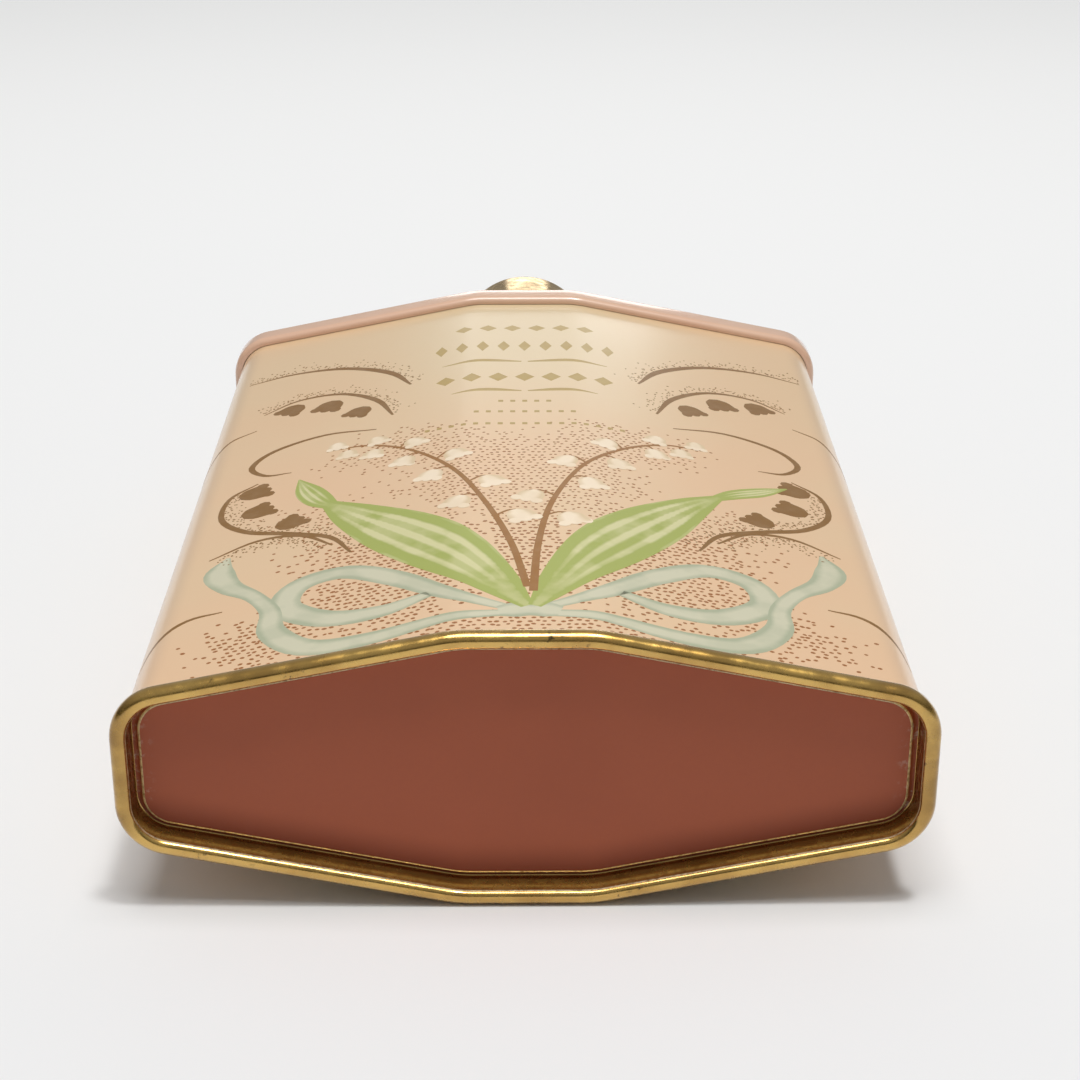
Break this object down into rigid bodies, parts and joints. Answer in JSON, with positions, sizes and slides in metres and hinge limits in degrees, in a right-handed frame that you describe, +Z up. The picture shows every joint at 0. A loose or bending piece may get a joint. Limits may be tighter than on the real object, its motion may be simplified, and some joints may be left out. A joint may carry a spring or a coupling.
{
  "type": "talcum powder tin",
  "caption": "Flat eight-sided tinplate powder tin with seamed ends, a recessed base, a sloping shoulder and a small turning sifter cap of brass.",
  "frame": {"origin": "middle of the footprint, on the surface that the tin lies on", "axes": "+Z up through the printed front, +Y from the base to the cap, X across the width; the tin lies on its back"},
  "size_m": [0.08, 0.1346, 0.03],
  "materials": {
    "printed_tinplate": "peach and cream litho print under gloss varnish",
    "gold_lacquered_tinplate": "gold lacquered seam round a matt terracotta panel",
    "pink_enamelled_tinplate": "gloss pink stoving enamel",
    "brass_sheet": "polished, lightly tarnished",
    "brass_rivet": "polished",
    "spring_steel": "plain",
    "seam_compound": "matt"
  },
  "bodies": {
    "tin": {"body_wall": "printed_tinplate", "base_end": "gold_lacquered_tinplate", "base_seam_compound": "seam_compound", "shoulder": "pink_enamelled_tinplate", "shoulder_seam_compound": "seam_compound", "neck_collar": "brass_sheet", "sifter_plate": "brass_sheet", "friction_washer": "spring_steel"},
    "cap": {"turn_cap": "brass_sheet", "cap_rivet": "brass_rivet"}
  },
  "joints": [
    {"name": "cap_twist", "type": "hinge", "parent": "tin", "child": "cap", "pos_m": [0, 0.06, 0.01502], "axis": [0, 1, 0], "range_deg": [0, 30]}
  ]
}
